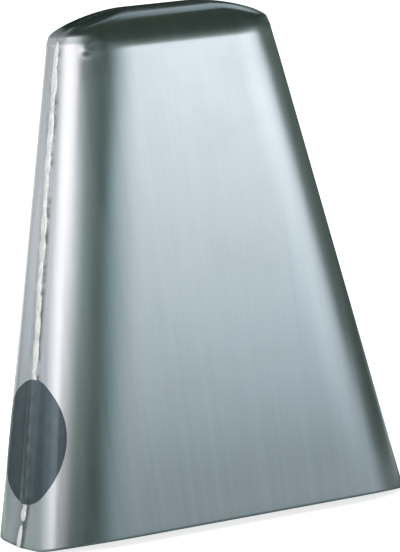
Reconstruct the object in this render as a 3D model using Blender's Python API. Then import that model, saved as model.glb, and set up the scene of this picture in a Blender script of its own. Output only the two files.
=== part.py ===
"""Hand cowbell: two pressed steel half shells, welded edge to edge, with a round foil label.

Metres, +Z up. The bell stands on its mouth at z = 0 with one broad face towards -Y.
"""
import math

import bmesh
import bpy

# The bell's outside
bell_height = 0.200
mouth_width = 0.160
mouth_depth = 0.0735
mouth_corner_run = 0.034      # how much of the broad face a corner takes
mouth_corner_reach = 0.0226   # how much of the narrow side it takes
mouth_arch = 0.003            # the broad edges of the mouth stand this far above the narrow ones
shoulder_width = 0.0914
shoulder_depth = 0.041
shoulder_corner_run = 0.0248
shoulder_corner_reach = 0.0165
corner_power = 2.2            # 2 is an ellipse, and more eases the corner into the flats
crown_rise = 0.0145           # from the shoulder bend to the crest
crown_end_straight = 0.0024   # the narrow sides run straight this far above the shoulder
crown_facet_rise = 0.0031     # then lean in over this rise
crown_facet_lean = 0.24       # by this much more than the sides do
crown_end_run = 0.0311        # from each end of the shoulder in to the crest's end
crown_end_power = 1.42        # the arch from the facet to the crest, 1 being straight and 2 an ellipse
crown_front_power = 2.1       # the crown's fold seen from the side
corner_run_fade = 1.5         # how soon the corners die away towards the crest
corner_reach_fade = 1.75

# The sheet, its welded seam and the clearance between neighbouring pieces
sheet = 0.0012
seam_gap = 0.0028
fit_gap = 0.0003
bead_height = 0.0008          # the bead's crest above the sheet
ripple_pitch = 0.0042
ripple_depth = 0.0003
ripple_crest = 0.7            # where in its pitch a ripple is highest

# The foil label on the left side
label_diameter = 0.0474
label_centre_height = 0.040
label_forward = 0.0008        # the label's centre lies this far in front of the seam
label_thickness = 0.00025
label_drape = 0.004           # the label comes down to the sheet this far from the seam

# How finely curves are cut into facets
wall_steps = 8
crown_steps = 12
corner_steps = 12
face_steps = 6
bead_cap_steps = 4
label_columns = 22
label_rows = 12
drape_columns = 4             # extra columns on each side of the seam, where the label drapes
merge_distance = 1e-6

# Sizes that follow from the ones above
shoulder_height = bell_height - crown_rise
seam_edge = seam_gap / 2
weld_half_width = seam_edge - fit_gap
wall_lean = (mouth_depth - shoulder_depth) / 2 / shoulder_height
side_lean = (mouth_width - shoulder_width) / 2 / shoulder_height
side_slope = math.atan(side_lean)


def mix(a, b, share):
    return a + (b - a) * share


def wall_size(z, inset):
    """Half width, half depth and the corner's run and reach at height z, inset from the outside."""
    share = z / shoulder_height
    half_width = mix(mouth_width, shoulder_width, share) / 2
    half_depth = mix(mouth_depth, shoulder_depth, share) / 2
    run = mix(mouth_corner_run, shoulder_corner_run, share)
    reach = mix(mouth_corner_reach, shoulder_corner_reach, share)
    return half_width - inset, half_depth - inset, run - inset, reach - inset


def bulge(share, power):
    """What is left of a half width at a share of the crown's rise."""
    return max(1 - share ** power, 0) ** (1 / power)


def crown_size(step, inset):
    """Height of one level of the crown, and its half width, half depth and corner."""
    share = math.sin(math.pi / 2 * step / crown_steps)
    rise = (crown_rise - inset) * share
    start_depth = shoulder_depth / 2 - inset
    half_depth = bulge(share, crown_front_power) * (start_depth - wall_lean * rise)
    half_depth = max(half_depth, seam_edge)
    facet = min(max(rise - crown_end_straight, 0), crown_facet_rise)
    arch_start = crown_end_straight + crown_facet_rise
    arch = max(rise - arch_start, 0) / (crown_rise - inset - arch_start)
    arch_run = crown_end_run - side_lean * crown_rise - crown_facet_lean * crown_facet_rise
    half_width = shoulder_width / 2 - inset - side_lean * rise - crown_facet_lean * facet
    half_width -= arch_run * (1 - bulge(arch, crown_end_power))
    fade = (half_depth - seam_edge) / (start_depth - seam_edge)
    run = (shoulder_corner_run - inset) * fade ** corner_run_fade
    reach = min((shoulder_corner_reach - inset) * fade ** corner_reach_fade, half_depth)
    return shoulder_height + rise, (half_width, half_depth, run, max(reach, merge_distance))


def quarter_section(half_width, half_depth, run, reach):
    """Across and deep of a quarter of the section, from the seam edge to the corner's end."""
    flat_end = half_depth - reach
    beyond = min(max((seam_edge - flat_end) / reach, 0), 1)
    first = math.asin(beyond ** (corner_power / 2))
    quarter = []
    for step in range(corner_steps + 1):
        angle = mix(first, math.pi / 2, step / corner_steps)
        across = half_width - run + run * max(math.cos(angle), 0) ** (2 / corner_power)
        quarter.append((across, flat_end + reach * math.sin(angle) ** (2 / corner_power)))
    return [(quarter[0][0], seam_edge)] + quarter


def half_section(half_width, half_depth, run, reach):
    """Half of a section, from the left seam edge round the front to the right one."""
    quarter = quarter_section(half_width, half_depth, run, reach)
    left = [(-across, -deep) for across, deep in quarter]
    right = [(across, -deep) for across, deep in reversed(quarter)]
    face_end = half_width - run
    face = [(mix(-face_end, face_end, step / face_steps), -half_depth) for step in range(1, face_steps)]
    return left + face + right


def mouth_lift(inset):
    """How far each point of the mouth's half section stands above the narrow edges."""
    size = wall_size(0, inset)
    half_depth = size[1]
    reach = size[3]
    bend_start = half_depth - reach
    return [mouth_arch * max(-deep - bend_start, 0) / reach for across, deep in half_section(*size)]


def sheet_columns(inset):
    """Points of a half shell's skin, one column from the mouth to the crest for each section point."""
    columns = []
    for index, lift in enumerate(mouth_lift(inset)):
        column = []
        for step in range(wall_steps):
            z = mix(lift, shoulder_height, step / wall_steps)
            column.append((*half_section(*wall_size(z, inset))[index], z))
        for step in range(crown_steps + 1):
            z, size = crown_size(step, inset)
            column.append((*half_section(*size)[index], z))
        columns.append(column)
    return columns


def material(name, colour, roughness, metallic):
    made = bpy.data.materials.new(name)
    made.use_nodes = True
    shader = made.node_tree.nodes["Principled BSDF"]
    shader.inputs["Base Color"].default_value = (*colour, 1)
    shader.inputs["Roughness"].default_value = roughness
    shader.inputs["Metallic"].default_value = metallic
    return made


def add_object(name, mesh, finish):
    piece = bpy.data.objects.new(name, mesh)
    piece.data.materials.append(finish)
    bell.objects.link(piece)
    return piece


def loft(name, rings):
    """A closed mesh through closed rings of equal, even length, each end capped by a strip."""
    work = bmesh.new()
    loops = [[work.verts.new(point) for point in ring] for ring in rings]
    count = len(rings[0])
    for near, far in zip(loops, loops[1:]):
        for i in range(count):
            work.faces.new((near[i], near[(i + 1) % count], far[(i + 1) % count], far[i]))
    for end in (loops[0], loops[-1]):
        for i in range(count // 2 - 1):
            work.faces.new((end[i], end[i + 1], end[count - 2 - i], end[count - 1 - i]))
    bmesh.ops.remove_doubles(work, verts=work.verts, dist=merge_distance)
    bmesh.ops.dissolve_degenerate(work, edges=work.edges, dist=merge_distance)
    bmesh.ops.recalc_face_normals(work, faces=work.faces)
    mesh = bpy.data.meshes.new(name)
    work.to_mesh(mesh)
    work.free()
    return mesh


def half_shell_mesh():
    """Each ring runs up the outside of the sheet and back down the inside."""
    pairs = zip(sheet_columns(0), sheet_columns(sheet))
    return loft("half_shell", [outside + inside[::-1] for outside, inside in pairs])


def side_weld_mesh(side):
    """A bead of overlapping ripples that fills the seam of one narrow side."""
    ripples = max(round(shoulder_height / ripple_pitch), 1)
    length = shoulder_height - fit_gap
    stations = []
    for ripple in range(ripples):
        stations.append((ripple / ripples, bead_height - ripple_depth))
        stations.append(((ripple + ripple_crest) / ripples, bead_height))
    stations.append((1, bead_height - ripple_depth))
    rings = []
    for share, proud in stations:
        z = length * share
        surface = wall_size(z, 0)[0]
        root = wall_size(z, sheet)[0]
        cap = []
        foot = []
        for step in range(bead_cap_steps + 1):
            angle = math.pi * step / bead_cap_steps
            along = -weld_half_width * math.cos(angle)
            cap.append((side * (surface + proud * math.sin(angle)), along, z))
            foot.append((side * root, along, z))
        rings.append(cap + foot[::-1])
    return loft("side_weld", rings)


def crown_weld_mesh():
    """A strip flush with the sheet, from one shoulder end over the crest to the other."""
    levels = range(crown_steps + 1)
    outside = [crown_size(step, 0) for step in levels]
    inside = [crown_size(step, sheet) for step in levels]
    rings = []
    for side, order in ((-1, levels), (1, reversed(levels))):
        for step in order:
            over_z, over = outside[step]
            under_z, under = inside[step]
            over_across = side * quarter_section(*over)[0][0]
            under_across = side * quarter_section(*under)[0][0]
            ring = [
                (over_across, -weld_half_width, over_z),
                (over_across, weld_half_width, over_z),
                (under_across, weld_half_width, under_z),
                (under_across, -weld_half_width, under_z),
            ]
            rings.append(ring)
    return loft("crown_weld", rings)


def side_point(along, z, out):
    """A point on the left side: along the section from the seam, at height z, clear of the sheet."""
    left = abs(along)
    here = (wall_size(z, 0)[0], 0)
    for ahead in quarter_section(*wall_size(z, 0)):
        stretch = math.dist(here, ahead)
        facing = ((ahead[1] - here[1]) / stretch, (here[0] - ahead[0]) / stretch)
        if left <= stretch:
            break
        left -= stretch
        here = ahead
    across = here[0] - facing[1] * left + facing[0] * out
    deep = here[1] + facing[0] * left + facing[1] * out
    return -across, math.copysign(deep, along), z


def side_label_mesh():
    """A thin disc wrapped round the left side and raised where it crosses the bead."""
    radius = label_diameter / 2
    stops = [-radius * math.cos(math.pi * step / label_columns) for step in range(label_columns + 1)]
    for column in range(1, drape_columns):
        reach = label_drape * column / drape_columns
        stops += [label_forward - reach, label_forward + reach]
    rings = []
    for offset in sorted(stops):
        climb = math.sqrt(max(radius ** 2 - offset ** 2, 0)) * math.cos(side_slope)
        along = offset - label_forward
        tent = 0.5 + 0.5 * math.cos(math.pi * min(abs(along) / label_drape, 1))
        out = fit_gap + bead_height * tent
        under = []
        over = []
        for row in range(label_rows + 1):
            z = label_centre_height + climb * mix(-1, 1, row / label_rows)
            under.append(side_point(along, z, out))
            over.append(side_point(along, z, out + label_thickness))
        rings.append(over + under[::-1])
    return loft("side_label", rings)


for old in list(bpy.data.objects):
    bpy.data.objects.remove(old, do_unlink=True)
bell = bpy.data.collections.new("hand_cowbell")
bpy.context.scene.collection.children.link(bell)

# Both halves are the same pressing, and the rear one is turned round
for end, turn in (("front", 0), ("rear", math.pi)):
    shell_finish = material(end + "_steel", (0.56, 0.60, 0.62), 0.28, 1.0)
    shell = add_object(end + "_half_shell", half_shell_mesh(), shell_finish)
    shell.rotation_euler.z = turn

for end, side in (("left", -1), ("right", 1)):
    bead_finish = material(end + "_bead_steel", (0.62, 0.62, 0.60), 0.35, 1.0)
    add_object(end + "_side_weld", side_weld_mesh(side), bead_finish)

add_object("crown_weld", crown_weld_mesh(), material("crown_steel", (0.56, 0.60, 0.62), 0.30, 1.0))
add_object("side_label", side_label_mesh(), material("label_foil", (0.07, 0.085, 0.10), 0.35, 0.0))
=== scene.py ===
import math
import random

import bpy
from mathutils import Matrix, Vector


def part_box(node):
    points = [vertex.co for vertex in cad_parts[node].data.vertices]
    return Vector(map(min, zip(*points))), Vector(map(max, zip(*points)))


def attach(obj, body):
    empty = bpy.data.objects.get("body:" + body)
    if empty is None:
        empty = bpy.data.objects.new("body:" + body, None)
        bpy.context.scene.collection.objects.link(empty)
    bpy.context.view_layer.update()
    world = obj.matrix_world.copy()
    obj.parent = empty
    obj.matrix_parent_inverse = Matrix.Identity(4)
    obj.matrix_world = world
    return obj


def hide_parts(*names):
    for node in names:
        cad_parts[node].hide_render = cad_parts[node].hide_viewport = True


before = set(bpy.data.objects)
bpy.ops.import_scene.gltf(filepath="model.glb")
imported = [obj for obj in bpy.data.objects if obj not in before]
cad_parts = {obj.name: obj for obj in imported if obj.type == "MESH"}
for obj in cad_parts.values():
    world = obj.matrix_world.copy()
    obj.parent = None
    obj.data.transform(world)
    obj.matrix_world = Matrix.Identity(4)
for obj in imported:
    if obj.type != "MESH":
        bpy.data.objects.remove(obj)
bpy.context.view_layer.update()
print("frame loaded:", sorted(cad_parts))

# the bell's outside, as the frame has it
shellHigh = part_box("front_half_shell")[1]
bell = {
    "height": shellHigh[2],
    "mouthWidth": 2 * shellHigh[0],
    "mouthDepth": 0.0735,
    "mouthCorner": (0.034, 0.0226),       # along the broad face, along the narrow side
    "mouthArch": 0.003,                   # lift of the broad edges over the narrow ones
    "rearClimb": 0.10,                    # the rear half's edge climbs evenly from the seam
    "shoulderWidth": 0.0914,
    "shoulderDepth": 0.041,
    "shoulderCorner": (0.0248, 0.0165),
    "cornerPower": 2.2,
    "crownRise": 0.0145,
    "crownEndStraight": 0.0024,           # the narrow sides run straight this far above the shoulder
    "crownEndFacet": (0.0031, 0.24),      # then lean in over this rise, by this much more
    "crownEndRun": 0.0311,
    "crownEndPower": 1.42,                # squareness of the crown's ends, seen from the front
    "crownFrontPower": 2.3,               # and of its fold, seen from the side
    "foldDrop": 0.0012,                   # the fold starts this far below the shoulder
    "cornerTuck": (0.002, 0.022),         # the corners tighten by this much along the face, over this height
    "crownCornerFade": (1.5, 1.75),
    "sheet": 0.0012,
}
bell["shoulderHeight"] = bell["height"] - bell["crownRise"]


def mix(a, b, share):
    return a + (b - a) * share


def bulge(share, power):
    return max(1 - share ** power, 0) ** (1 / power)


def foldAt(z):
    share = (z - bell["shoulderHeight"] + bell["foldDrop"]) / (bell["crownRise"] + bell["foldDrop"])
    return bulge(min(max(share, 0), 1), bell["crownFrontPower"])


def wallSize(z):
    share = z / bell["shoulderHeight"]
    tuck = bell["cornerTuck"][0] * max(1 - (bell["shoulderHeight"] - z) / bell["cornerTuck"][1], 0) ** 2
    halfWidth = mix(bell["mouthWidth"], bell["shoulderWidth"], share) / 2
    halfDepth = mix(bell["mouthDepth"], bell["shoulderDepth"], share) / 2 * foldAt(z)
    run = mix(bell["mouthCorner"][0], bell["shoulderCorner"][0], share) - tuck
    reach = mix(bell["mouthCorner"][1], bell["shoulderCorner"][1], share)
    return halfWidth, halfDepth, run, reach


# modelling helpers

mergeGap = 1e-6                           # points nearer than this become one
smoothAngle = math.radians(50)            # sharper edges stay sharp


def startFresh():
    if bpy.context.object and bpy.context.object.mode == "EDIT":
        bpy.ops.object.mode_set(mode="OBJECT")
    bpy.ops.object.select_all(action="DESELECT")


def onlySelect(piece):
    startFresh()
    piece.select_set(True)
    bpy.context.view_layer.objects.active = piece


def running(line):
    # lengths from the start of a line of points
    total = [0.0]
    for near, far in zip(line, line[1:]):
        total.append(total[-1] + math.dist(near, far))
    return total


def wrappedGrid(name, columns, rows, place, chart=None):
    # a flat grid laid on a surface, its UVs in metres along and up the sheet unless a chart gives them
    startFresh()
    bpy.ops.mesh.primitive_grid_add(x_subdivisions=columns, y_subdivisions=rows, size=1)
    piece = bpy.context.object
    piece.name = name
    lines = [[place(column, row) for column in range(columns + 1)] for row in range(rows + 1)]
    across = [running(line) for line in lines]
    upward = [running(line) for line in zip(*lines)]
    for index, point in enumerate(piece.data.vertices):
        point.co = lines[index // (columns + 1)][index % (columns + 1)]
    sheetMap = piece.data.uv_layers.active.data
    for loop in piece.data.loops:
        row, column = divmod(loop.vertex_index, columns + 1)
        flat = (across[row][column] - across[row][-1] / 2, upward[column][row])
        sheetMap[loop.index].uv = chart(column, row) if chart else flat
    bpy.ops.object.mode_set(mode="EDIT")
    bpy.ops.mesh.select_all(action="SELECT")
    bpy.ops.mesh.remove_doubles(threshold=mergeGap)
    bpy.ops.mesh.dissolve_degenerate(threshold=mergeGap)
    bpy.ops.mesh.normals_make_consistent(inside=False)
    bpy.ops.object.mode_set(mode="OBJECT")
    return piece


def applyModifier(piece, name, kind, **settings):
    onlySelect(piece)
    modifier = piece.modifiers.new(name, kind)
    for key, value in settings.items():
        setattr(modifier, key, value)
    bpy.ops.object.modifier_apply(modifier=name)


def levelFoot(piece):
    # nothing reaches below the floor
    for point in piece.data.vertices:
        point.co.z = max(point.co.z, 0)


def settle(piece, body, slot, *nodes):
    onlySelect(piece)
    bpy.ops.object.shade_smooth_by_angle(angle=smoothAngle)
    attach(piece, body)
    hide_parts(*nodes)


# half shells

shell = {
    "seamEdge": 0.00004,     # each half stops this far from the middle of the seam
    "flangeSteps": 4,
    "cornerSteps": 26,
    "faceSteps": 44,
    "wallRows": 90,
    "rowEase": 1.6,          # rows crowd towards the shoulder
    "crownRows": 44,
    "edgeRound": 0.0003,
    "edgeSteps": 3,
    "rimBand": 0.0010,       # how far up the painted shade along the cut edge reaches
    # wrinkles the press leaves at the crown's corners: place on the right, way out, spread, height
    "wrinkles": (((0.0404, -0.0153, 0.1856), (0.62, -0.77, 0.15), 0.0020, 0.00045),
                 ((0.0385, -0.0050, 0.1945), (0.45, -0.25, 0.86), 0.0028, 0.0004)),
    # and a shallow hollow round them, on the front half
    "frontHollow": ((0.0402, -0.0160, 0.1870), (0.62, -0.77, 0.15), 0.0095, -0.00042),
}
shellColumns = 2 * (shell["flangeSteps"] + shell["cornerSteps"]) + shell["faceSteps"]


def quarterPoint(size, step):
    # across and deep, from the seam edge over the flange and round the corner
    halfWidth, halfDepth, run, reach = size
    power = 2 / bell["cornerPower"]
    flatEnd = halfDepth - reach
    beyond = min(max((shell["seamEdge"] - flatEnd) / reach, 0), 1)
    first = math.asin(beyond ** (1 / power))
    turn = max(step - shell["flangeSteps"], 0) / shell["cornerSteps"]
    angle = mix(first, math.pi / 2, turn)
    across = halfWidth - run + run * max(math.cos(angle), 0) ** power
    deep = flatEnd + reach * math.sin(angle) ** power
    if step < shell["flangeSteps"]:
        deep = mix(shell["seamEdge"], deep, step / shell["flangeSteps"])
    return across, deep


def halfSectionPoint(size, column):
    quarter = shell["flangeSteps"] + shell["cornerSteps"]
    if column <= quarter:
        across, deep = quarterPoint(size, column)
        return -across, -deep
    if column >= shellColumns - quarter:
        across, deep = quarterPoint(size, shellColumns - column)
        return across, -deep
    faceEnd = size[0] - size[2]
    return mix(-faceEnd, faceEnd, (column - quarter) / shell["faceSteps"]), -size[1]


wallLean = (bell["mouthDepth"] - bell["shoulderDepth"]) / 2 / bell["shoulderHeight"]
sideLean = (bell["mouthWidth"] - bell["shoulderWidth"]) / 2 / bell["shoulderHeight"]


def crownLevel(step):
    # the height and the section's sizes, from the shoulder at 0 to the crest at 1
    share = math.sin(step * math.pi / 2)
    rise = bell["crownRise"] * share
    z = bell["shoulderHeight"] + rise
    facetRise, facetLean = bell["crownEndFacet"]
    facet = min(max(rise - bell["crownEndStraight"], 0), facetRise)
    archStart = bell["crownEndStraight"] + facetRise
    arch = bulge(max(rise - archStart, 0) / (bell["crownRise"] - archStart), bell["crownEndPower"])
    halfDepth = max(foldAt(z) * (bell["shoulderDepth"] / 2 - wallLean * rise), shell["seamEdge"])
    halfWidth = bell["shoulderWidth"] / 2 - sideLean * rise - facetLean * facet
    halfWidth -= (bell["crownEndRun"] - sideLean * bell["crownRise"] - facetLean * facetRise) * (1 - arch)
    shoulder = wallSize(bell["shoulderHeight"])
    left = halfDepth / shoulder[1]
    run = shoulder[2] * left ** bell["crownCornerFade"][0]
    reach = min(shoulder[3] * left ** bell["crownCornerFade"][1], halfDepth)
    return z, (halfWidth, halfDepth, run, reach)


def mouthLift(deep, rear):
    # how far the mouth's edge stands above the ends of the seam
    if rear:
        return bell["rearClimb"] * max(deep - shell["seamEdge"], 0)
    mouth = wallSize(0)
    return bell["mouthArch"] * max(deep - mouth[1] + mouth[3], 0) / mouth[3]


def wrinkled(x, y, z, rear):
    side = math.copysign(1, x)
    marks = shell["wrinkles"] if rear else (*shell["wrinkles"], shell["frontHollow"])
    for spot, out, spread, height in marks:
        push = height * math.exp(-(math.dist((abs(x), y, z), spot) / spread) ** 2)
        x, y, z = x + side * out[0] * push, y + out[1] * push, z + out[2] * push
    return x, y, z


def shellPoint(column, row, rear):
    if row > shell["wallRows"]:
        z, size = crownLevel((row - shell["wallRows"]) / shell["crownRows"])
        return wrinkled(*halfSectionPoint(size, column), z, rear)
    z = mouthLift(-halfSectionPoint(wallSize(0), column)[1], rear)
    if row > 0:
        share = 1 - (1 - (row - 1) / (shell["wallRows"] - 1)) ** shell["rowEase"]
        z = mix(z + shell["rimBand"], bell["shoulderHeight"], share)
    return wrinkled(*halfSectionPoint(wallSize(z), column), z, rear)


def makeHalfShell(name, rear):
    piece = wrappedGrid(name, shellColumns, shell["wallRows"] + shell["crownRows"],
                        lambda column, row: shellPoint(column, row, rear))
    applyModifier(piece, "thickness", "SOLIDIFY", thickness=bell["sheet"], offset=-1, use_even_offset=True)
    levelFoot(piece)
    applyModifier(piece, "edges", "BEVEL", width=shell["edgeRound"], segments=shell["edgeSteps"],
                  limit_method="ANGLE", angle_limit=smoothAngle)
    # the share of painted shade along the cut edge, full at the mouth
    rim = piece.data.attributes.new("rim", "FLOAT", "POINT")
    for point in piece.data.vertices:
        above = point.co.z - mouthLift(abs(point.co.y), rear)
        rim.data[point.index].value = min(max(1 - above / shell["rimBand"], 0), 1)
    return piece


frontShell = makeHalfShell("frontShell", False)
rearShell = makeHalfShell("rearShell", True)
onlySelect(rearShell)
rearShell.rotation_euler.z = math.pi
bpy.ops.object.transform_apply(location=False, rotation=True, scale=False)
settle(frontShell, "root", "shell_steel", "front_half_shell")
settle(rearShell, "root", "shell_steel", "rear_half_shell")
print("half shells:", len(frontShell.data.polygons), "faces each")

# crown seam

seam = {"halfWidth": 0.0006, "proud": 0.00003, "columns": 2, "rows": 48}


def seamPoint(column, row):
    share = abs(2 * row / seam["rows"] - 1)
    z, size = crownLevel(1 - share)
    side = -1 if 2 * row < seam["rows"] else 1
    along = mix(-seam["halfWidth"], seam["halfWidth"], column / seam["columns"])
    return side * (size[0] + seam["proud"]), along, z + seam["proud"]


crownSeam = wrappedGrid("crownSeam", seam["columns"], seam["rows"], seamPoint)
applyModifier(crownSeam, "thickness", "SOLIDIFY", thickness=bell["sheet"], offset=-1)
settle(crownSeam, "root", "shell_steel", "crown_weld")
print("crown seam laid")

# side beads

bead = {
    "pitch": 0.0078,
    "scatter": 0.2,          # lumps stray up or down by this share of the pitch
    "halfWidth": 0.0023,
    "height": 0.0005,
    "sink": 0.4,             # the lumps' middles lie this share of the height below the sheet
    "overlap": 0.78,         # each lump's half length over the pitch
    # the least and most of each lump's share of these
    "heights": (0.75, 1.1),
    "widths": (0.72, 1.12),
    "lengths": (0.85, 1.3),
    "tilt": 0.10,            # lumps lean either way by up to this angle
    "lumpFacets": (20, 12),
    "lean": -0.0009,         # the bead runs a little to the front of the seam
    "rimDrift": 0.0042,      # and swings to the rear by this much at the rim
    "rimDriftReach": 0.019,
    "wander": 0.0007,        # lumps stray to the sides too
    "wanderHold": 0.7,       # and keep this share of the last one's straying
    "top": -0.0005,          # above the shoulder
    "fade": 0.006,           # the last lumps sink over this length
    "fadeEnd": 0.35,         # down to this share of their height
    "breaks": (0.0095,),     # heights where the bead is broken
    "breakHalf": 0.0003,
    "breakClear": 0.0031,    # lumps keep their middles this far from a break
    "voxel": 0.00016,
    "soften": 0.5,
    "softenRounds": 8,
    "seed": 7,
}
beadTop = bell["shoulderHeight"] + bead["top"]
rimSwing = math.atan(bead["rimDrift"] / bead["rimDriftReach"])


def beadLine(z):
    return bead["lean"] + bead["rimDrift"] * max(1 - z / bead["rimDriftReach"], 0)


def makeBead(name, side, seed, breaks):
    draw = random.Random(seed)
    segments, rings = bead["lumpFacets"]
    startFresh()
    lumps = []
    drift = 0
    for index in range(round(beadTop / bead["pitch"])):
        z = (index + 0.5) * bead["pitch"] + draw.uniform(-bead["scatter"], bead["scatter"]) * bead["pitch"]
        for gap in breaks:
            if abs(z - gap) < bead["breakClear"]:
                z = gap + math.copysign(bead["breakClear"], z - gap)
        drift = bead["wanderHold"] * drift + draw.uniform(-0.5, 0.5) * bead["wander"]
        fade = min((beadTop - z) / bead["fade"] + bead["fadeEnd"], 1)
        high = bead["height"] * draw.uniform(*bead["heights"]) * fade
        wide = bead["halfWidth"] * draw.uniform(*bead["widths"]) / (1 - bead["sink"] ** 2) ** 0.5
        long = bead["pitch"] * bead["overlap"] * draw.uniform(*bead["lengths"])
        for gap in breaks:
            long = min(long, abs(z - gap) - bead["breakHalf"])
        tilt = draw.uniform(-bead["tilt"], bead["tilt"])
        if z < bead["rimDriftReach"]:
            tilt += rimSwing
        place = (side * (wallSize(z)[0] - high * bead["sink"]), beadLine(z) + drift, z)
        bpy.ops.mesh.primitive_uv_sphere_add(segments=segments, ring_count=rings, radius=1, location=place,
                                             rotation=(tilt, -side * math.atan(sideLean), 0),
                                             scale=(high * (1 + bead["sink"]), wide, long))
        lumps.append(bpy.context.object)
    for lump in lumps:
        lump.select_set(True)
    bpy.ops.object.join()
    piece = bpy.context.object
    piece.name = name
    bpy.ops.object.transform_apply(location=True, rotation=True, scale=True)
    applyModifier(piece, "weldPool", "REMESH", mode="VOXEL", voxel_size=bead["voxel"])
    applyModifier(piece, "soften", "SMOOTH", factor=bead["soften"], iterations=bead["softenRounds"])
    levelFoot(piece)
    return piece


leftBead = makeBead("leftBead", -1, bead["seed"], bead["breaks"])
rightBead = makeBead("rightBead", 1, bead["seed"] + 1, ())
settle(leftBead, "root", "weld_steel", "left_side_weld")
settle(rightBead, "root", "weld_steel", "right_side_weld")
print("side beads:", len(leftBead.data.polygons), len(rightBead.data.polygons), "faces")

# foil label

label = {
    "diameter": 0.0474,
    "width": 0.0452,         # it stretches less round the corner than up the side
    "centreHeight": 0.040,
    "forward": 0.0017,       # its middle lies this far in front of the seam
    "thickness": 0.00012,
    "drape": 0.0064,
    "ridge": 0.00072,        # how far the bead pushes it out
    "ripple": 0.03,          # it dips between lumps by twice this share
    "gap": 0.00004,
    "columns": 96,
    "rows": 64,
}


def sidePoint(along, z, out):
    # a point on the left side, measured along the section from the seam
    size = wallSize(z)
    steps = shell["flangeSteps"] + shell["cornerSteps"]
    left = abs(along)
    here = (size[0], 0)
    for step in range(1, steps + 1):
        ahead = quarterPoint(size, step)
        stretch = math.dist(here, ahead)
        facing = ((ahead[1] - here[1]) / stretch, (here[0] - ahead[0]) / stretch)
        if left <= stretch:
            break
        left -= stretch
        here = ahead
    across = here[0] - facing[1] * left + facing[0] * out
    deep = here[1] + facing[0] * left + facing[1] * out
    return -across, math.copysign(deep, along), z


def labelChart(column, row):
    # the label as a flat disc of radius 1
    along = -math.cos(math.pi * column / label["columns"])
    return along, math.sqrt(max(1 - along ** 2, 0)) * mix(-1, 1, row / label["rows"])


def labelPoint(column, row):
    flat = labelChart(column, row)
    along = label["width"] / 2 * flat[0] - label["forward"]
    climb = label["diameter"] / 2 * flat[1]
    z = label["centreHeight"] + climb * math.cos(math.atan(sideLean))
    tent = 0.5 + 0.5 * math.cos(math.pi * min(abs(along - beadLine(z)) / label["drape"], 1))
    lump = 1 - label["ripple"] * (1 + math.cos(2 * math.pi * z / bead["pitch"]))
    return sidePoint(along, z, label["gap"] + label["ridge"] * tent * lump)


sideLabel = wrappedGrid("sideLabel", label["columns"], label["rows"], labelPoint, labelChart)
applyModifier(sideLabel, "thickness", "SOLIDIFY", thickness=label["thickness"], offset=1)
settle(sideLabel, "root", "label_foil", "side_label")
print("label:", len(sideLabel.data.polygons), "faces")

# finishes


def newMaterial(name, metallic):
    made = bpy.data.materials.new(name)
    made.use_nodes = True
    shader = made.node_tree.nodes["Principled BSDF"]
    shader.inputs["Metallic"].default_value = metallic
    return made, made.node_tree, shader


def dress(piece, finish):
    piece.data.materials.clear()
    piece.data.materials.append(finish)


def addNode(tree, kind, inputs=None, **settings):
    node = tree.nodes.new("ShaderNode" + kind)
    for key, value in settings.items():
        setattr(node, key, value)
    for key, value in (inputs or {}).items():
        node.inputs[key].default_value = value
    return node


def plug(tree, value, socket):
    if isinstance(value, (int, float)):
        socket.default_value = value
    elif isinstance(value, tuple):
        socket.default_value = value if len(value) == len(socket.default_value) else (*value, 1)
    else:
        tree.links.new(value, socket)


def work(tree, operation, first, second=0.0):
    node = addNode(tree, "Math", operation=operation)
    plug(tree, first, node.inputs[0])
    plug(tree, second, node.inputs[1])
    return node.outputs[0]


def remap(tree, value, low, high, toLow=0.0, toHigh=1.0):
    node = addNode(tree, "MapRange", {"From Min": low, "From Max": high, "To Min": toLow, "To Max": toHigh})
    plug(tree, value, node.inputs["Value"])
    return node.outputs["Result"]


def blend(tree, share, first, second, kind="MIX"):
    node = addNode(tree, "Mix", data_type="RGBA", blend_type=kind)
    for value, socket in ((share, node.inputs[0]), (first, node.inputs[6]), (second, node.inputs[7])):
        plug(tree, value, socket)
    return node.outputs[2]


def grain(tree, place, cell, detail=3.0):
    # noise whose cells measure so much along each axis
    scaled = addNode(tree, "VectorMath", operation="DIVIDE")
    noise = addNode(tree, "TexNoise", {"Scale": 1.0, "Detail": detail, "Roughness": 0.55})
    plug(tree, place, scaled.inputs[0])
    plug(tree, cell, scaled.inputs[1])
    plug(tree, scaled.outputs["Vector"], noise.inputs["Vector"])
    return noise.outputs[0]


def newGroup(name, outputs):
    tree = bpy.data.node_groups.new(name, "ShaderNodeTree")
    for output in outputs:
        tree.interface.new_socket(output, in_out="OUTPUT", socket_type="NodeSocketFloat")
    return tree, tree.nodes.new("NodeGroupOutput")


def useGroup(tree, group):
    node = tree.nodes.new("ShaderNodeGroup")
    node.node_tree = group
    return node.outputs


# the brushing runs up the sheet: cells in metres across it and along it
brush = {
    "broad": (0.005, 0.5, 1.0),
    "fine": (0.0006, 0.06, 1.0),
    "contrast": (0.3, 0.7),
}
brushMarks, brushOut = newGroup("brushMarks", ("Broad", "Fine"))
sheetPlace = addNode(brushMarks, "UVMap", uv_map="UVMap").outputs["UV"]
for output, cell in (("Broad", brush["broad"]), ("Fine", brush["fine"])):
    strokes = grain(brushMarks, sheetPlace, cell)
    plug(brushMarks, remap(brushMarks, strokes, *brush["contrast"]), brushOut.inputs[output])
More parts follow.
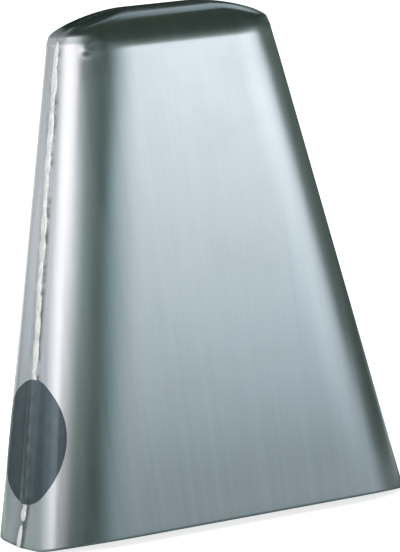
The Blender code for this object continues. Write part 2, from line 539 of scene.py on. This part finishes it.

# heat tint beside the side welds, and soot with painted shade mostly in front of them; four numbers are a
# range and what it becomes
weldStainAndShade = {
    "tintReach": (0.0016, 0.0062, 1.0, 0.0),      # by the distance from the bead
    "tintCell": (0.003, 0.003, 0.008),
    "tintContrast": (0.35, 0.65, 0.3, 1.0),
    "sootShadeReach": (0.0030, 0.0056, 1.0, 0.0),
    "sootShadeCell": (0.02, 0.02, 0.006),      # the soot and painted shade lie in dashes
    "sootShadeDashes": (0.45, 0.60, 0.0, 0.7),
    "sootShadeThins": (0.09, 0.15, 0.09, -0.06),       # with fewer of them higher up
    "sootShadeFoot": (0.018, 0.024, 1.0, 0.0),         # and no gaps near the rim
    "fleckCell": (0.002, 0.002, 0.003),
    "fleckContrast": (0.3, 0.6, 0.7, 1.3),
    "sootShadeSide": (-0.0004, 0.0004, 1.0, 0.3),      # mostly in front of the bead
    "crown": (0.186, 0.190, 1.0, 0.0),    # both end here
}
weldHeatAndShade, heatOut = newGroup("weldHeatAndShade", ("Heat", "SootAndShade"))
heatPlace = addNode(weldHeatAndShade, "TexCoord").outputs["Object"]
heatParts = addNode(weldHeatAndShade, "SeparateXYZ")
plug(weldHeatAndShade, heatPlace, heatParts.inputs["Vector"])
heatHeight = heatParts.outputs["Z"]
beadMiddle = remap(weldHeatAndShade, heatHeight, 0.0, bead["rimDriftReach"], beadLine(0), bead["lean"])
behindBead = work(weldHeatAndShade, "SUBTRACT", heatParts.outputs["Y"], beadMiddle)
fromBead = work(weldHeatAndShade, "ABSOLUTE", behindBead)
belowCrown = remap(weldHeatAndShade, heatHeight, *weldStainAndShade["crown"])
heatBand = work(weldHeatAndShade, "MULTIPLY", remap(weldHeatAndShade, fromBead, *weldStainAndShade["tintReach"]), belowCrown)
heatCloud = remap(weldHeatAndShade, grain(weldHeatAndShade, heatPlace, weldStainAndShade["tintCell"]), *weldStainAndShade["tintContrast"])
plug(weldHeatAndShade, work(weldHeatAndShade, "MULTIPLY", heatBand, heatCloud), heatOut.inputs["Heat"])
# soot with painted shade of the bead's flank, in dashes beside the bead
sootShadeNoise = grain(weldHeatAndShade, heatPlace, weldStainAndShade["sootShadeCell"], 2.0)
sootShadeNoise = work(weldHeatAndShade, "ADD", sootShadeNoise, remap(weldHeatAndShade, heatHeight, *weldStainAndShade["sootShadeThins"]))
sootShadeDashes = remap(weldHeatAndShade, sootShadeNoise, *weldStainAndShade["sootShadeDashes"])
sootShadeDashes = work(weldHeatAndShade, "MAXIMUM", sootShadeDashes, remap(weldHeatAndShade, heatHeight, *weldStainAndShade["sootShadeFoot"]))
sootShadeFlecks = remap(weldHeatAndShade, grain(weldHeatAndShade, heatPlace, weldStainAndShade["fleckCell"]), *weldStainAndShade["fleckContrast"])
sootAndShade = work(weldHeatAndShade, "MULTIPLY", remap(weldHeatAndShade, fromBead, *weldStainAndShade["sootShadeReach"]), belowCrown)
for mask in (sootShadeFlecks, sootShadeDashes, remap(weldHeatAndShade, behindBead, *weldStainAndShade["sootShadeSide"])):
    sootAndShade = work(weldHeatAndShade, "MULTIPLY", sootAndShade, mask)
plug(weldHeatAndShade, sootAndShade, heatOut.inputs["SootAndShade"])

# fingermarks
hand = {"cell": (0.03, 0.03, 0.03), "detail": 5.0, "contrast": (0.48, 0.72)}
handling, handlingOut = newGroup("handling", ("Smudge",))
handPlace = addNode(handling, "TexCoord").outputs["Object"]
fingers = grain(handling, handPlace, hand["cell"], hand["detail"])
plug(handling, remap(handling, fingers, *hand["contrast"]), handlingOut.inputs["Smudge"])

steel = {
    "dark": (0.572, 0.602, 0.617),
    "pale": (0.628, 0.658, 0.673),
    # share and colour
    "fineMark": (0.10, (0.40, 0.43, 0.44)),
    "heat": (0.18, (0.36, 0.345, 0.30)),
    "sootAndShade": (0.9, (0.15, 0.16, 0.15)),    # at most this share; soot with painted shade
    # painted shade along the cut edge
    "rim": (0.75, (0.13, 0.14, 0.14)),
    "roughness": 0.195,
    # and what each adds to it
    "broadRough": 0.03,
    "smudgeRough": 0.03,
    "sootRough": 0.2,
    "rimRough": 0.2,
    "anisotropy": 0.8,
}
brushedSteel, steelTree, steelShader = newMaterial("brushedSteel", 1.0)
marks = useGroup(steelTree, brushMarks)
heat = useGroup(steelTree, weldHeatAndShade)
smudge = useGroup(steelTree, handling)["Smudge"]
rimShare = addNode(steelTree, "Attribute", attribute_name="rim").outputs["Fac"]
steelColour = blend(steelTree, marks["Broad"], steel["dark"], steel["pale"])
# these layers include painted shade beside the beads and along the cut edge
for mask, limit, layer in ((marks["Fine"], "MULTIPLY", "fineMark"), (heat["Heat"], "MULTIPLY", "heat"),
                           (heat["SootAndShade"], "MINIMUM", "sootAndShade"), (rimShare, "MULTIPLY", "rim")):
    share, colour = steel[layer]
    steelColour = blend(steelTree, work(steelTree, limit, mask, share), steelColour, colour)
plug(steelTree, steelColour, steelShader.inputs["Base Color"])
steelRough = steel["roughness"]
for mask, extra in ((marks["Broad"], steel["broadRough"]), (smudge, steel["smudgeRough"]),
                    (heat["SootAndShade"], steel["sootRough"]), (rimShare, steel["rimRough"])):
    steelRough = work(steelTree, "ADD", work(steelTree, "MULTIPLY", mask, extra), steelRough)
plug(steelTree, steelRough, steelShader.inputs["Roughness"])
steelShader.inputs["Anisotropic"].default_value = steel["anisotropy"]
brushWay = addNode(steelTree, "Tangent", direction_type="UV_MAP", uv_map="UVMap")
plug(steelTree, brushWay.outputs["Tangent"], steelShader.inputs["Tangent"])

beadFinish = {
    "metallic": 0.55,
    "cloudCell": (0.0011, 0.0011, 0.0024),
    "cloudContrast": (0.35, 0.6),
    "dark": (0.72, 0.725, 0.72),
    "pale": (0.95, 0.955, 0.95),
    "roughness": (0.58, 0.40),            # where dark and where pale
    "pitCell": (0.0005, 0.0005, 0.0005),
    "pitStrength": 0.6,
    "pitDepth": 0.00008,
}
beadSteel, beadTree, beadShader = newMaterial("beadSteel", beadFinish["metallic"])
beadPlace = addNode(beadTree, "TexCoord").outputs["Object"]
beadCloud = grain(beadTree, beadPlace, beadFinish["cloudCell"], 4.0)
beadCloud = remap(beadTree, beadCloud, *beadFinish["cloudContrast"])
beadColour = blend(beadTree, beadCloud, beadFinish["dark"], beadFinish["pale"])
plug(beadTree, beadColour, beadShader.inputs["Base Color"])
plug(beadTree, remap(beadTree, beadCloud, 0.0, 1.0, *beadFinish["roughness"]), beadShader.inputs["Roughness"])
pits = addNode(beadTree, "Bump", {"Strength": beadFinish["pitStrength"], "Distance": beadFinish["pitDepth"]})
plug(beadTree, grain(beadTree, beadPlace, beadFinish["pitCell"]), pits.inputs["Height"])
plug(beadTree, pits.outputs["Normal"], beadShader.inputs["Normal"])

# the label's cells and reaches are in its own radii
foil = {
    "dark": (0.080, 0.108, 0.120),
    "pale": (0.102, 0.134, 0.150),
    "cloudCell": (0.25, 0.25, 1.0),
    "cloudContrast": (0.3, 0.7),
    "roughness": (0.16, 0.20),
    "ridgeGlintAndRubColour": (0.24, 0.28, 0.30),      # painted highlight and rubbing, paler along the ridge
    "ridgeGlintReach": (0.02, 0.10, 0.5, 0.0),
    "rubCell": (0.08, 0.16, 1.0),
    "rubContrast": (0.38, 0.6),
}
darkFoil, foilTree, foilShader = newMaterial("darkFoil", 1.0)
foilPlace = addNode(foilTree, "UVMap", uv_map="UVMap").outputs["UV"]
foilParts = addNode(foilTree, "SeparateXYZ")
plug(foilTree, foilPlace, foilParts.inputs["Vector"])
ridgeLine = 2 * (bead["lean"] + label["forward"]) / label["width"]
fromRidge = work(foilTree, "ABSOLUTE", work(foilTree, "SUBTRACT", foilParts.outputs["X"], ridgeLine))
rubNoise = remap(foilTree, grain(foilTree, foilPlace, foil["rubCell"], 4.0), *foil["rubContrast"])
# a painted highlight with rubbing along the ridge over the bead
ridgeGlintAndRub = work(foilTree, "MULTIPLY", remap(foilTree, fromRidge, *foil["ridgeGlintReach"]), rubNoise)
foilCloud = remap(foilTree, grain(foilTree, foilPlace, foil["cloudCell"], 5.0), *foil["cloudContrast"])
foilColour = blend(foilTree, foilCloud, foil["dark"], foil["pale"])
foilColour = blend(foilTree, ridgeGlintAndRub, foilColour, foil["ridgeGlintAndRubColour"])
plug(foilTree, foilColour, foilShader.inputs["Base Color"])
plug(foilTree, remap(foilTree, foilCloud, 0.0, 1.0, *foil["roughness"]), foilShader.inputs["Roughness"])
for piece in (frontShell, rearShell, crownSeam):
    dress(piece, brushedSteel)
for piece in (leftBead, rightBead):
    dress(piece, beadSteel)
dress(sideLabel, darkFoil)
print("finishes set")

# floor, screens and lamps

def even(colour):
    # the same all over a screen
    return (0.0, colour), (1.0, colour)


rightStops = ((0.0, 0.06), (0.10, 0.09), (0.19, 0.14), (0.35, 0.15), (0.8, 0.055))
studio = {
    "floorSize": 40,
    "floorColour": (0.95, 0.95, 0.95, 1),
    "floorRoughness": 0.6,
    "floorLift": 0.75,       # the floor's own glow where it is looked at straight
    "worldLevel": (0.75, 1.0),            # as a light on the bell, and where it is looked at straight
    "screenRadius": 1.4,
    "screenFacets": 180,
    # bearings from and to, low and high edge, height and level or colour up the screen, share by bearing
    "screens": {
        "keyFoot": (
            -8, 66, 0.0, 0.07,
            ((0.0, (0.20, 0.27, 0.30)), (0.03, (0.42, 0.51, 0.54)), (0.05, (0.54, 0.64, 0.68)),
             (0.07, (0.58, 0.68, 0.72))),
            ((-8, 0.26), (4, 0.54), (12, 0.66), (18, 0.77), (25, 0.93), (31, 1.02), (46, 1.02),
             (58, 0.85), (66, 0.45))),
        "keyLow": (
            -8, 66, 0.07, 0.20,
            ((0.07, (0.58, 0.68, 0.72)), (0.10, (0.64, 0.74, 0.78)), (0.20, (0.97, 1.08, 1.13))),
            ((-8, 0.30), (4, 0.55), (12, 0.64), (18, 0.73), (25, 0.87), (31, 1.18), (46, 1.12),
             (58, 0.9), (66, 0.5))),
        "keyScreen": (
            -8, 66, 0.20, 0.36,
            ((0.20, (0.97, 1.08, 1.13)), (0.28, (1.26, 1.34, 1.40)), (0.36, (1.68, 1.76, 1.83))),
            ((-8, 0.21), (4, 0.42), (18, 0.63), (25, 0.81), (31, 1.09), (46, 1.1), (58, 0.9), (66, 0.5))),
        "keyTop": (
            -8, 66, 0.36, 0.48,
            ((0.36, (1.68, 1.76, 1.83)), (0.41, (1.22, 1.28, 1.33)), (0.48, (0.36, 0.43, 0.42))),
            ((-8, 0.10), (4, 0.45), (18, 0.76), (25, 0.92), (31, 1.08), (46, 1.1), (58, 0.9), (66, 0.6))),
        "leftRearScreen": (
            -172, -134, 0.0, 0.9,
            ((0.0, (0.20, 0.22, 0.23)), (0.12, (0.46, 0.50, 0.53)), (0.22, (0.70, 0.70, 0.73)),
             (0.30, (0.63, 0.64, 0.67)), (0.38, (0.46, 0.47, 0.49)), (0.46, (0.72, 0.71, 0.73)),
             (0.54, (0.74, 0.73, 0.75)), (0.64, (0.55, 0.55, 0.57)), (0.75, (0.43, 0.43, 0.45)),
             (0.90, (0.39, 0.40, 0.42))),
            ((-172, 0.95), (-154, 0.95), (-147, 1.4), (-140, 1.65), (-134, 1.75))),
        "leftScreen": (
            -134, -96, 0.0, 2.6,
            ((0.0, (0.42, 0.45, 0.48)), (0.20, (1.30, 1.31, 1.36)), (0.32, (1.85, 1.76, 1.80)),
             (0.80, (1.85, 1.75, 1.8)), (0.92, (1.11, 1.07, 1.10)), (1.05, (1.04, 1.0, 1.03)),
             (1.42, (0.34, 0.35, 0.36)), (2.6, (0.16, 0.18, 0.18))),
            ((-134, 0.72), (-118, 0.92), (-108, 1.0), (-96, 1.0))),
        "leftFrontScreen": (
            -96, -66, 0.0, 2.6,
            ((0.0, 0.18), (0.20, (0.42, 0.42, 0.43)), (0.26, (0.58, 0.57, 0.59)),
             (0.31, (0.74, 0.72, 0.74)), (0.37, (1.11, 1.07, 1.10)), (0.42, (1.39, 1.34, 1.37)),
             (0.48, (1.79, 1.70, 1.74)), (0.56, (1.79, 1.70, 1.74)), (0.80, (1.66, 1.62, 1.64)),
             (0.95, 1.1), (1.08, 0.9), (1.2, 0.6), (1.48, 0.3), (2.6, 0.14)),
            ((-96, 1.0), (-82, 1.0), (-66, 0.63))),
        "leftEdgeScreen": (
            -66, -48, 0.0, 2.6,
            ((0.0, 0.12), (0.20, 0.16), (0.26, 0.22), (0.31, 0.39), (0.37, 0.65), (0.42, 0.88),
             (0.48, 1.22), (0.525, 1.28), (0.555, 0.55), (0.58, 0.24), (1.2, 0.2), (2.6, 0.09)),
            ((-66, 1.0), (-48, 0.5))),
        "frontFlag": (
            -48, -20, 0.0, 2.6,
            ((0.0, 0.13), (0.22, 0.16), (0.29, 0.32), (0.35, 0.37), (0.42, 0.48), (0.48, 0.46),
             (0.515, 0.42), (0.54, 0.21), (0.60, 0.13), (0.68, 0.22), (0.76, 0.36), (0.94, 0.30),
             (1.05, 0.15), (1.2, 0.06), (2.6, 0.06)),
            ((-48, 1.0), (-34, 0.65), (-26, 0.46), (-20, 0.47))),
        "frontDarkFlag": (
            -20, -8, 0.0, 2.6,
            ((0.0, 0.11), (0.17, 0.13), (0.25, 0.165), (0.35, 0.16), (0.42, 0.09), (0.55, 0.065),
             (0.70, 0.07), (1.0, 0.057)),
            ((-20, 0.7), (-14, 1.04), (-8, 1.4))),
        "highFlag": (
            -8, 66, 0.48, 2.6,
            ((0.48, 0.41), (0.60, 0.21), (0.72, 0.14), (0.95, 0.085), (1.3, 0.07), (2.6, 0.06))),
        "rightFlag": (66, 112, 0.0, 1.25, rightStops),
        "rightRearFlag": (112, 148, 0.0, 0.9, rightStops),
        "rightRearCorner": (136, 148, 0.9, 1.25, even(0.055)),
        "rightHighFlag": (66, 112, 1.25, 2.6, even((0.045, 0.07, 0.05))),
        "rearStrip": (
            112, 136, 0.9, 2.6,
            ((0.9, (0.04, 0.06, 0.05)), (1.04, (0.44, 0.52, 0.56)), (1.25, (0.60, 0.68, 0.72)),
             (1.50, (0.46, 0.55, 0.59)), (1.8, (0.37, 0.46, 0.50)), (2.3, (0.38, 0.47, 0.51)),
             (2.6, (0.20, 0.25, 0.27)))),
        "rearStripEdge": (
            136, 140, 1.25, 2.6,
            ((1.25, (0.03, 0.045, 0.035)), (1.36, (0.07, 0.09, 0.09)), (1.50, (0.35, 0.44, 0.48)),
             (2.3, (0.38, 0.47, 0.51)), (2.6, (0.20, 0.25, 0.27)))),
        "rearStripEnd": (
            140, 150, 1.25, 2.6,
            ((1.25, (0.03, 0.045, 0.035)), (1.55, (0.05, 0.07, 0.06)), (1.78, (0.34, 0.42, 0.46)),
             (2.6, (0.35, 0.43, 0.47)))),
        "rearFlag": (148, 168, 0.2, 1.25, even((0.02, 0.032, 0.025))),
        "rearGrey": (
            168, 188, 0.34, 1.25,
            ((0.34, (0.42, 0.47, 0.5)), (0.9, (0.38, 0.43, 0.45)), (1.15, (0.05, 0.07, 0.06)))),
        "rearHighFlag": (150, 188, 1.25, 2.2, even((0.03, 0.045, 0.035))),
        "rearTopStrip": (150, 175, 2.2, 2.6, even((0.2, 0.23, 0.24))),
        "rearTopFlag": (175, 188, 2.2, 2.6, even((0.03, 0.045, 0.035))),
        "leftRearFlag": (
            -172, -134, 0.9, 2.6,
            ((0.9, (0.36, 0.40, 0.42)), (1.3, (0.28, 0.32, 0.33)), (1.7, (0.06, 0.08, 0.07)))),
    },
    "darkTint": (0.78, 1.07, 0.93),
    "paleTint": (0.955, 1.005, 1.04),
    "paleLevel": 1.3,        # from this level on a screen is as pale as it gets
    "dimRed": 0.36,          # where a bearing dims a screen, its red dims more
    "overFlag": (2.6, (0.05, 0.07, 0.055)),       # height and colour
    "lowFlagHeight": 0.0002,
    "lowFlagFall": 0.0001,   # from its inner edge to its outer one
    "lowFlagReach": (0.03, 1.4),
    # bearings from and to, reach from the bell's axis and level or colour there
    "lowFlags": {
        "lowFlag": (
            -72, 66,
            ((0.03, (0.21, 0.28, 0.29)), (0.13, (0.21, 0.28, 0.29)), (0.28, (0.58, 0.64, 0.66)),
             (0.43, (0.62, 0.68, 0.70)), (0.60, (0.09, 0.13, 0.13)), (1.4, (0.08, 0.12, 0.12)))),
        "rightLowFlag": (
            66, 115,
            ((0.03, (0.10, 0.13, 0.11)), (0.13, (0.10, 0.13, 0.11)), (0.28, (0.42, 0.47, 0.47)),
             (0.46, (0.46, 0.51, 0.52)), (0.66, (0.07, 0.10, 0.08)), (1.4, (0.06, 0.09, 0.07)))),
        "leftLowFlag": (
            -180, -72,
            ((0.03, 0.42), (0.13, 0.42), (0.28, 0.72), (0.46, 0.75), (0.66, 0.40), (1.4, 0.38))),
        "rearLowFlag": (
            115, 180,
            ((0.03, 0.4), (0.13, 0.4), (0.28, 0.7), (0.46, 0.72), (0.66, 0.4), (1.4, 0.4))),
    },
    # bearing, distance, size, height, radiance
    "lamps": {
        "keyLamp": (35, 1.6, 1.0, 1.2, 1.0),
        "leftLamp": (-105, 1.6, 1.2, 1.2, 1.0),
    },
}


def onlyGloss(thing):
    thing.visible_camera = False
    thing.visible_diffuse = False
    thing.visible_shadow = False
    thing.visible_transmission = False


def bearingOf(point):
    return math.degrees(math.atan2(point.x, -point.y))


def within(bearing, low, high):
    return (bearing - low) % 360 <= high - low


def tone(level):
    # a level's colour: greener when dark
    if isinstance(level, tuple):
        return level
    share = min(level / studio["paleLevel"], 1)
    return tuple(level * mix(dark, pale, share) for dark, pale in zip(studio["darkTint"], studio["paleTint"]))


def rampOf(tree, value, stops):
    # colours laid out along a value, and how bright the brightest is
    low, high = stops[0][0], stops[-1][0]
    peak = max(max(colour) for at, colour in stops)
    ramp = tree.nodes.new("ShaderNodeValToRGB")
    points = ramp.color_ramp.elements
    for index, (at, colour) in enumerate(stops):
        share = (at - low) / (high - low)
        point = points[index] if index < 2 else points.new(share)
        point.position = share
        point.color = (*(part / peak for part in colour), 1)
    plug(tree, remap(tree, value, low, high), ramp.inputs["Fac"])
    return ramp.outputs["Color"], peak


def dimmed(share):
    return share * min(studio["dimRed"] + share, 1), share, share


def screenGlow(name, stops, across=None, byReach=False):
    # a glow that changes with height or with the reach from the axis, and with the bearing where asked
    made = bpy.data.materials.new(name)
    made.use_nodes = True
    tree = made.node_tree
    tree.nodes.remove(tree.nodes["Principled BSDF"])
    place = addNode(tree, "TexCoord").outputs["Object"]
    parts = addNode(tree, "SeparateXYZ")
    plug(tree, place, parts.inputs["Vector"])
    along = parts.outputs["Z"]
    if byReach:
        reach = addNode(tree, "VectorMath", operation="LENGTH")
        plug(tree, place, reach.inputs[0])
        along = reach.outputs["Value"]
    colour, strength = rampOf(tree, along, [(at, tone(level)) for at, level in stops])
    if across:
        turn = work(tree, "ARCTAN2", parts.outputs["X"], work(tree, "MULTIPLY", parts.outputs["Y"], -1.0))
        share, most = rampOf(tree, turn, [(math.radians(at), dimmed(level)) for at, level in across])
        colour = blend(tree, 1.0, colour, share, "MULTIPLY")
        strength *= most
    glow = addNode(tree, "Emission", {"Strength": strength})
    plug(tree, colour, glow.inputs["Color"])
    plug(tree, glow.outputs["Emission"], tree.nodes["Material Output"].inputs["Surface"])
    return made


def directRays(tree, low, high):
    # high where the camera, a gloss or a clear piece looks straight at this, else low
    rays = addNode(tree, "LightPath").outputs
    direct = work(tree, "MAXIMUM", rays["Is Camera Ray"], rays["Is Glossy Ray"])
    direct = work(tree, "MAXIMUM", direct, rays["Is Transmission Ray"])
    return remap(tree, direct, 0.0, 1.0, low, high)


def keepArc(piece, fromBearing, toBearing):
    bpy.ops.object.mode_set(mode="EDIT")
    bpy.ops.mesh.select_mode(type="FACE")
    bpy.ops.mesh.select_all(action="DESELECT")
    bpy.ops.object.mode_set(mode="OBJECT")
    for face in piece.data.polygons:
        face.select = not within(bearingOf(face.center), fromBearing, toBearing)
    bpy.ops.object.mode_set(mode="EDIT")
    bpy.ops.mesh.delete(type="FACE")
    bpy.ops.object.mode_set(mode="OBJECT")


def addScreen(name, fromBearing, toBearing, low, high, stops, across=None):
    startFresh()
    bpy.ops.mesh.primitive_cylinder_add(vertices=studio["screenFacets"], radius=studio["screenRadius"],
                                        depth=high - low, end_fill_type="NOTHING",
                                        location=(0, 0, (low + high) / 2))
    screen = bpy.context.object
    screen.name = name
    bpy.ops.object.transform_apply(location=True, rotation=True, scale=True)
    keepArc(screen, fromBearing, toBearing)
    dress(screen, screenGlow(name + "Glow", stops, across))
    onlyGloss(screen)


startFresh()
bpy.ops.mesh.primitive_plane_add(size=studio["floorSize"])
floor = bpy.context.object
floor.name = "floor"
paleFloor, floorTree, floorShader = newMaterial("paleFloor", 0.0)
floorShader.inputs["Base Color"].default_value = studio["floorColour"]
floorShader.inputs["Roughness"].default_value = studio["floorRoughness"]
floorShader.inputs["Specular IOR Level"].default_value = 0.0
floorShader.inputs["Emission Color"].default_value = (1, 1, 1, 1)
plug(floorTree, directRays(floorTree, 0.0, studio["floorLift"]), floorShader.inputs["Emission Strength"])
dress(floor, paleFloor)

for name, setting in studio["screens"].items():
    addScreen(name, *setting)

startFresh()
overHeight, overColour = studio["overFlag"]
bpy.ops.mesh.primitive_circle_add(vertices=studio["screenFacets"], radius=studio["screenRadius"],
                                  fill_type="NGON", location=(0, 0, overHeight))
overFlag = bpy.context.object
overFlag.name = "overFlag"
bpy.ops.object.transform_apply(location=True, rotation=True, scale=True)
dress(overFlag, screenGlow("overFlagGlow", even(overColour)))
onlyGloss(overFlag)

inner, outer = studio["lowFlagReach"]
for name, (fromBearing, toBearing, stops) in studio["lowFlags"].items():
    startFresh()
    bpy.ops.mesh.primitive_cone_add(vertices=studio["screenFacets"], radius1=outer, radius2=inner,
                                    depth=studio["lowFlagFall"], end_fill_type="NOTHING",
                                    location=(0, 0, studio["lowFlagHeight"]))
    flag = bpy.context.object
    flag.name = name
    bpy.ops.object.transform_apply(location=True, rotation=True, scale=True)
    keepArc(flag, fromBearing, toBearing)
    dress(flag, screenGlow(name + "Glow", stops, byReach=True))
    onlyGloss(flag)

for name, (bearing, distance, size, height, radiance) in studio["lamps"].items():
    turn = math.radians(bearing)
    lamp = bpy.data.lights.new(name, "AREA")
    lamp.size = size
    lamp.energy = radiance * math.pi * size ** 2
    box = bpy.data.objects.new(name, lamp)
    box.location = (math.sin(turn) * distance, -math.cos(turn) * distance, height)
    box.rotation_euler = box.location.to_track_quat("Z", "Y").to_euler()
    box.visible_glossy = False
    bpy.context.scene.collection.objects.link(box)

world = bpy.data.worlds.new("studio")
bpy.context.scene.world = world
world.use_nodes = True
worldTree = world.node_tree
backdrop = worldTree.nodes["Background"]
backdrop.inputs["Color"].default_value = (1, 1, 1, 1)
plug(worldTree, directRays(worldTree, *studio["worldLevel"]), backdrop.inputs["Strength"])
print("stage set")

# camera

view = {
    "bearing": -29.0,
    "elevation": 5.49,
    "roll": -5.32,
    "distance": 1.441,
    "focusPixels": 3710,
    "frameLongSide": 552,
    "sensor": 36,
    "farClip": 100,
    "target": (0.00798, 0.0, 0.09302),
}
camera = bpy.data.cameras.new("camera")
camera.sensor_width = view["sensor"]
camera.lens = view["focusPixels"] * camera.sensor_width / view["frameLongSide"]
camera.clip_end = view["farClip"]
cameraObject = bpy.data.objects.new("camera", camera)
bpy.context.scene.collection.objects.link(cameraObject)
turn = math.radians(view["bearing"])
rise = math.radians(view["elevation"])
back = Vector((math.sin(turn) * math.cos(rise), -math.cos(turn) * math.cos(rise), math.sin(rise)))
right = Vector((math.cos(turn), math.sin(turn), 0))
up = back.cross(right)
roll = math.radians(view["roll"])
rolledRight = right * math.cos(roll) + up * math.sin(roll)
rolledUp = up * math.cos(roll) - right * math.sin(roll)
axes = Matrix((rolledRight, rolledUp, back)).transposed()
stand = Vector(view["target"]) + back * view["distance"]
cameraObject.matrix_world = Matrix.Translation(stand) @ axes.to_4x4()
bpy.context.scene.camera = cameraObject
bpy.context.scene.view_settings.view_transform = "Standard"
print("camera placed")
